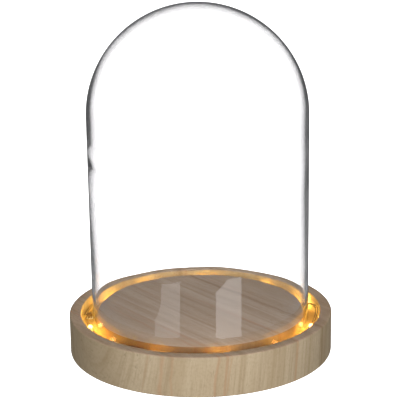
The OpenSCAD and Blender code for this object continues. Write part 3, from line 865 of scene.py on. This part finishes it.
def makeBeads():
    # one drop of resin, drawn out a little where it ran along the wires
    b = beadShape
    bpy.ops.mesh.primitive_uv_sphere_add(segments=b["segments"], ring_count=b["rings"],
                                         radius=b["diameter"] / 2, rotation=(math.pi / 2, 0, 0))
    bpy.context.active_object.scale = (1, 1, (b["length"] - b["tips"]) / b["diameter"])
    drop = claim("resinDrop")
    for side, pull in ((-1, b["backPull"]), (1, b["frontPull"])):
        reach = max(side * point.co.y for point in drop.data.vertices)
        selectPoints(drop, lambda place: side * place.y > reach - 0.02 * mm)
        bpy.ops.transform.translate(value=(0, side * pull, 0), use_proportional_edit=True,
                                    proportional_edit_falloff="SHARP",
                                    proportional_size=b["pullReach"])
        leaveEdit()
    smooth(drop, 60)
    for number, (angle, z) in enumerate(beads, 1):
        turn = Matrix.Rotation(math.radians(angle), 4, "Z")
        turn = Matrix.Translation(onRing(angle, ringRadius, z)) @ turn
        bead = settle(copyOf(drop, f"resinDrop{number}", turn), "led_resin", f"led_bead_{number}")
        bead.visible_shadow = False
        chip = frame["nodes"][f"led_chip_{number}"]
        chip.data.materials.clear()
        chip.data.materials.append(finishes["led_chip"])
    bpy.data.objects.remove(drop)


makeTurnedBase()
makeFeet()
print("base and feet made")
makeString()
makeBeads()
print("string made with", len(beads), "lights")


def bevelledCopy(node, name, slot, bevel):
    # the node's own shape with broken edges
    piece = frame["nodes"][node].copy()
    piece.data = frame["nodes"][node].data.copy()
    piece.parent = None
    piece.name = piece.data.name = name
    for key in list(piece.keys()):
        del piece[key]
    bpy.context.scene.collection.objects.link(piece)
    take(piece)
    bpy.ops.object.mode_set(mode="EDIT")
    bpy.ops.mesh.select_all(action="SELECT")
    bpy.ops.mesh.remove_doubles(threshold=0.002 * mm)
    bpy.ops.mesh.dissolve_limited(angle_limit=math.radians(0.5))
    leaveEdit()
    piece.data.materials.clear()
    breakEdges(piece, bevel, 2, 40)
    return settle(smooth(piece), slot, node)


# node, name, finish and width of the broken edges in millimetres
mouldings = [
    ("battery_tray", "cellTray", "black_plastic", 0.2),
    ("tray_bezel", "trayBezel", "black_plastic", 0.15),
    ("battery_door", "cellDoor", "black_plastic", 0.12),
    ("bezel_screws", "bezelScrews", "screw_steel", 0.08),
    ("wire_hole_plug", "holeGlue", "hot_glue", 0.3),
    ("channel_glue", "channelGlue", "hot_glue", 0.4),
    ("positive_plate", "positivePlate", "contact_steel", 0.08),
    ("negative_plate", "negativePlate", "contact_steel", 0.08),
    ("left_bridge_plate", "leftBridgePlate", "contact_steel", 0.08),
    ("right_bridge_plate", "rightBridgePlate", "contact_steel", 0.08),
    ("series_resistor", "seriesResistor", "resistor_body", 0.12),
    ("switch_shell", "switchShell", "switch_steel", 0.1),
    ("switch_board", "switchBoard", "switch_board", 0.05),
    ("switch_terminals", "switchTerminals", "contact_steel", 0.06),
    ("switch_knob", "switchKnob", "switch_knob", 0.12),
]
for node, name, slot, bevel in mouldings:
    bevelledCopy(node, name, slot, bevel * mm)

cellShape = {
    "sides": 64,
    "button": 1.9 * mm,
    "buttonHeight": 1 * mm,
    "shoulder": 0.7 * mm,
    "recess": 0.3 * mm,
    "washer": 3.3 * mm,
    "seam": 0.5 * mm,
    "edge": 0.4 * mm,
}


def makeCells():
    # one cell along X with its button at the left, then turned round for the middle one
    low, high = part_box("cell_1")
    c = cellShape
    radius, length = (high.y - low.y) / 2, high.x - low.x
    cell = addRod("cellShape", radius, (length, 0, 0), (c["buttonHeight"], 0, 0), c["sides"])
    shoulder = (c["shoulder"], -c["recess"])
    washer = (radius - c["shoulder"] - c["washer"], 0)
    button = (c["washer"] - c["button"], c["buttonHeight"] + c["recess"])
    seam = (c["seam"], c["recess"])
    for side, steps in ((-1, (shoulder, washer, button)), (1, (shoulder, seam))):
        selectFaces(cell, lambda centre, normal: normal.x * side > 0.9)
        for inset, rise in steps:
            bpy.ops.mesh.inset(thickness=inset)
            if rise:
                extrude(side * rise, 0, 0)
        leaveEdit()
    cell.data.materials.append(finishes["cell_jacket"])
    cell.data.materials.append(finishes["contact_steel"])
    selectFaces(cell, lambda centre, normal: centre.yz.length < radius - 0.9 * c["shoulder"])
    cell.active_material_index = 1
    bpy.ops.object.material_slot_assign()
    leaveEdit()
    smooth(breakEdges(cell, c["edge"], 3, 50), 40)
    share = cell.data.attributes.new("alongCell", "FLOAT", "POINT")
    for point, value in zip(cell.data.vertices, share.data):
        value.value = point.co.x / length
    for number in range(1, 4):
        low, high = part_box(f"cell_{number}")
        flip = Matrix.Rotation(math.pi if number == 2 else 0, 4, "Z")
        centred = flip @ Matrix.Translation((-length / 2, 0, 0))
        turn = Matrix.Translation((low + high) / 2) @ centred
        settle(copyOf(cell, f"cell{number}", turn), "cell_jacket", f"cell_{number}")
    bpy.data.objects.remove(cell)


springShape = {"wire": 0.5 * mm, "turns": 3.5, "taper": 0.28, "stepsPerTurn": 24}


def makeSprings():
    # the wide turn against the contact plate, the narrow one against the cell
    wire, steps = springShape["wire"], springShape["stepsPerTurn"]
    last = int(springShape["turns"] * steps)
    for number in range(1, 4):
        low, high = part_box(f"contact_spring_{number}")
        middle, wide = (low + high) / 2, (high.y - low.y) / 2 - wire / 2
        start, end = high.x - wire / 2, low.x + wire / 2
        if number == 2:
            start, end = end, start
        path = []
        for k in range(last + 1):
            u, turn = k / last, math.tau * k / steps
            radius = wide * (1 - springShape["taper"] * u)
            path.append(Vector((start + (end - start) * u, middle.y + radius * math.cos(turn),
                                middle.z + radius * math.sin(turn))))
        settle(addTube(f"contactSpring{number}", path, wire), "contact_steel",
               f"contact_spring_{number}")


makeCells()
makeSprings()
print("tray, cells and switch made")

leadShape = {
    "diameter": 1.3 * mm,
    "cellPitch": 10.9 * mm,
    "redBelowTop": 0.9 * mm,
    "redInset": 3.5 * mm,
    "blackInset": 3.7 * mm,
    "divider": 1.4 * mm,
}


def makeLeads():
    # given point by point: red from the switch to its plate, black from the string to the far plate
    s = leadShape
    shellLow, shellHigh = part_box("switch_shell")
    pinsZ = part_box("switch_terminals")[1].z
    plateLow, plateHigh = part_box("positive_plate")
    x, y = (shellLow.x + shellHigh.x) / 2, (shellLow.y + shellHigh.y) / 2
    half, pitch = s["diameter"] / 2, s["cellPitch"]
    redY, redZ = -(pitch - s["redInset"]), plateHigh.z - s["redBelowTop"]
    bayX = plateLow.x
    dividerX = bayX - s["divider"]
    red = [(x, y, pinsZ + tiny), (x, y, pinsZ + 0.8 * mm),
           (x + 1.6 * mm, y + 0.5 * mm, redZ + 0.7 * mm),
           (dividerX - 2.2 * mm, redY, redZ), (bayX - tiny, redY, redZ)]
    joinX, joinZ = x - 1.9 * mm, trayLow.z + 3.2 * mm
    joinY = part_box("series_resistor")[1].y + tiny + 5 * mm
    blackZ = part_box("lead_black")[1].z - half
    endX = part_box("negative_plate")[0].x
    plateY, plateZ = pitch - s["blackInset"], plateHigh.z - half
    black = [(joinX + 0.1 * mm, joinY + 0.1 * mm, joinZ + 0.1 * mm),
             (joinX + 1.6 * mm, joinY + 0.9 * mm, joinZ + 2.6 * mm),
             (dividerX - 4.5 * mm, pitch / 2 + 2.2 * mm, blackZ - 0.8 * mm),
             (dividerX - 1.6 * mm, pitch / 2, blackZ), (endX - 3.9 * mm, pitch / 2, blackZ),
             (endX - 1.2 * mm, plateY, plateZ), (endX - tiny, plateY, plateZ)]
    for colour, points in (("red", red), ("black", black)):
        lead = addTube(f"{colour}Lead", smoothPath([Vector(p) for p in points], 6), s["diameter"])
        settle(lead, f"{colour}_lead", f"lead_{colour}")


makeLeads()
print("leads made")


cameraSet = {
    "distance": 0.8528,
    "elevation": 16.354,
    "aim": (0, 0, 0.0887),
    "roll": -0.833,
    "lens": 136.47,
    "sensor": 36,
    "shift": 0.0029,
    "near": 0.01,
    "far": 50,
}
# turn from the front and lift in degrees, as seen from a point just above the base
softboxes = {
    "leftSoftbox": {"turn": -19, "lift": 20, "distance": 1.25, "size": (0.6, 0.7), "power": 7.5},
    "rightSoftbox": {"turn": 29, "lift": 20, "distance": 1.25, "size": (0.6, 0.7), "power": 7.8},
    "tableBounce": {"turn": 0, "lift": -90, "distance": 0.5, "size": (1, 1), "power": 1.3},
}
softboxAim = 0.3 * Vector(cameraSet["aim"])
beadLight = {
    "power": 0.026,
    "colour": (1, 0.68, 0.155),
    "size": 1 * mm,
    "offset": 1 * mm,
    # the lights that differ in brightness, and those that face the glass instead of the rim
    "shares": {1: 9, 6: 7, 7: 1.2, 8: 0.45, 9: 0.8, 11: 2.1},
    "towardGlass": (1, 6),
}
roomLight = {
    "lit": (0.96, 0.97, 1, 1),
    "litStrength": 0.03,
    "mirrored": (0.97, 0.97, 1, 1),
    "mirroredStrength": 0.2,
    "white": (1, 1, 1, 1),
    "backdropStrength": 2.2,
    "tableStrength": 3.1,
    "tableGlow": 0.65,
    "tableTone": (0.88, 0.88, 0.88, 1),
    "tableSize": 8,
}
# corners in millimetres, in turn
tableGleams = {
    "leftGleam": {"strength": 2.1, "corners": [(-78, -103), (-39, -129), (-71, -222), (-128, -185),
                                               (-103, -149), (-97, -121)]},
    "rightGleam": {"strength": 3.4, "corners": [(28, -132), (69, -109), (144, -186), (100, -213),
                                                (50, -205)]},
}
gleamFade = {"frontY": -0.22, "frontShare": 1.15, "backY": -0.12, "backShare": 0.9}


def addToScene(name, data):
    thing = bpy.data.objects.new(name, data)
    bpy.context.scene.collection.objects.link(thing)
    return thing


def makeCamera():
    c = cameraSet
    camera = addToScene("camera", bpy.data.cameras.new("camera"))
    tilt = math.radians(c["elevation"])
    camera.data.lens, camera.data.sensor_width = c["lens"], c["sensor"]
    camera.data.shift_x = c["shift"]
    camera.data.clip_start, camera.data.clip_end = c["near"], c["far"]
    away = Vector((0, -math.cos(tilt), math.sin(tilt)))
    camera.location = Vector(c["aim"]) + c["distance"] * away
    roll = Matrix.Rotation(math.radians(c["roll"]), 3, "Z")
    camera.rotation_euler = (Matrix.Rotation(math.pi / 2 - tilt, 3, "X") @ roll).to_euler()
    bpy.context.scene.camera = camera


def makeSoftboxes():
    for name, box in softboxes.items():
        light = bpy.data.lights.new(name, "AREA")
        light.shape, light.energy = "RECTANGLE", box["power"]
        light.size, light.size_y = box["size"]
        lamp = addToScene(name, light)
        lift, turn = math.radians(box["lift"]), math.radians(box["turn"])
        away = Vector((math.sin(turn) * math.cos(lift), -math.cos(turn) * math.cos(lift),
                       math.sin(lift)))
        lamp.location = softboxAim + box["distance"] * away
        lamp.rotation_euler = away.to_track_quat("Z", "Y").to_euler()
        lamp.visible_camera = lamp.visible_transmission = False


def makeBeadLamps():
    # the light that each bead throws in the groove
    for number, (angle, z) in enumerate(beads, 1):
        light = bpy.data.lights.new(f"beadLight{number}", "POINT")
        light.energy = beadLight["power"] * beadLight["shares"].get(number, 1)
        light.color, light.shadow_soft_size = beadLight["colour"], beadLight["size"]
        lamp = addToScene(f"beadLight{number}", light)
        side = -1 if number in beadLight["towardGlass"] else 1
        lamp.location = onRing(angle, ringRadius + side * beadLight["offset"], z)
        lamp.visible_camera = lamp.visible_glossy = lamp.visible_transmission = False


def seenStraight(tree):
    # 1 for what is seen directly or straight through the glass, without a mirror on the way
    path = put(tree, "ShaderNodeLightPath").outputs
    seen = calc(tree, "MAXIMUM", path["Is Camera Ray"], path["Is Transmission Ray"])
    bounces = calc(tree, "ADD", path["Diffuse Depth"], path["Glossy Depth"])
    return calc(tree, "MULTIPLY", seen, calc(tree, "LESS_THAN", bounces, 0.5))


def makeWorld():
    # white behind everything, a dimmer room for what is lit or mirrored
    r = roomLight
    world = bpy.data.worlds.new("studio")
    bpy.context.scene.world = world
    world.use_nodes = True
    tree = world.node_tree
    room, mirrored, white = (
        put(tree, "ShaderNodeBackground", {"Color": r[colour], "Strength": r[strength]})
        for colour, strength in (("lit", "litStrength"), ("mirrored", "mirroredStrength"),
                                 ("white", "backdropStrength")))
    diffuseRay = put(tree, "ShaderNodeLightPath").outputs["Is Diffuse Ray"]
    around = mixShaders(tree, diffuseRay, mirrored, room)
    mixed = mixShaders(tree, seenStraight(tree), around, white)
    tree.links.new(mixed.outputs[0], tree.nodes["World Output"].inputs["Surface"])


def makeStageMaterial(name, strength):
    material = bpy.data.materials.new(name)
    material.use_nodes = True
    tree = material.node_tree
    tree.nodes.remove(tree.nodes["Principled BSDF"])
    glow = put(tree, "ShaderNodeEmission", {"Color": roomLight["white"], "Strength": strength})
    tree.links.new(glow.outputs[0], tree.nodes["Material Output"].inputs["Surface"])
    return material, tree, glow


def showOnlyTo(thing, *rays):
    for ray in ("camera", "diffuse", "glossy", "transmission", "shadow"):
        setattr(thing, f"visible_{ray}", ray in rays)


def makeFloor():
    # pale table top: it shows a faint shadow, and is clear from below
    bpy.ops.mesh.primitive_plane_add(size=roomLight["tableSize"], location=(0, 0, -0.02 * mm))
    floor = claim("floor")
    material, tree, glow = makeStageMaterial("paleFloor", roomLight["tableStrength"])
    matt = put(tree, "ShaderNodeBsdfDiffuse", {"Color": roomLight["tableTone"]})
    share = calc(tree, "MULTIPLY", seenStraight(tree), roomLight["tableGlow"])
    clear = put(tree, "ShaderNodeBsdfTransparent")
    under = put(tree, "ShaderNodeNewGeometry").outputs["Backfacing"]
    both = mixShaders(tree, under, mixShaders(tree, share, matt, glow), clear)
    tree.links.new(both.outputs[0], tree.nodes["Material Output"].inputs["Surface"])
    floor.data.materials.append(material)
    showOnlyTo(floor, "camera", "transmission")


def makeGleams():
    # the softboxes mirrored in the table top, which the front of the glass mirrors again
    for name, gleam in tableGleams.items():
        bpy.ops.mesh.primitive_circle_add(vertices=len(gleam["corners"]), fill_type="NGON")
        card = claim(name)
        for point, (x, y) in zip(card.data.vertices, gleam["corners"]):
            point.co = (x * mm, y * mm, mm)
        material, tree, glow = makeStageMaterial(name, gleam["strength"])
        front, back = (gleam["strength"] * gleamFade[end] for end in ("frontShare", "backShare"))
        strength = remap(tree, axisOf(tree, objectPlace(tree), "Y"), gleamFade["frontY"],
                         gleamFade["backY"], front, back)
        tree.links.new(strength, glow.inputs["Strength"])
        card.data.materials.append(material)
        showOnlyTo(card, "glossy")


makeCamera()
makeSoftboxes()
makeWorld()
makeFloor()
makeGleams()
makeBeadLamps()
scene = bpy.context.scene
scene.view_settings.view_transform = "Standard"
scene.cycles.use_denoising = True
print("studio made")
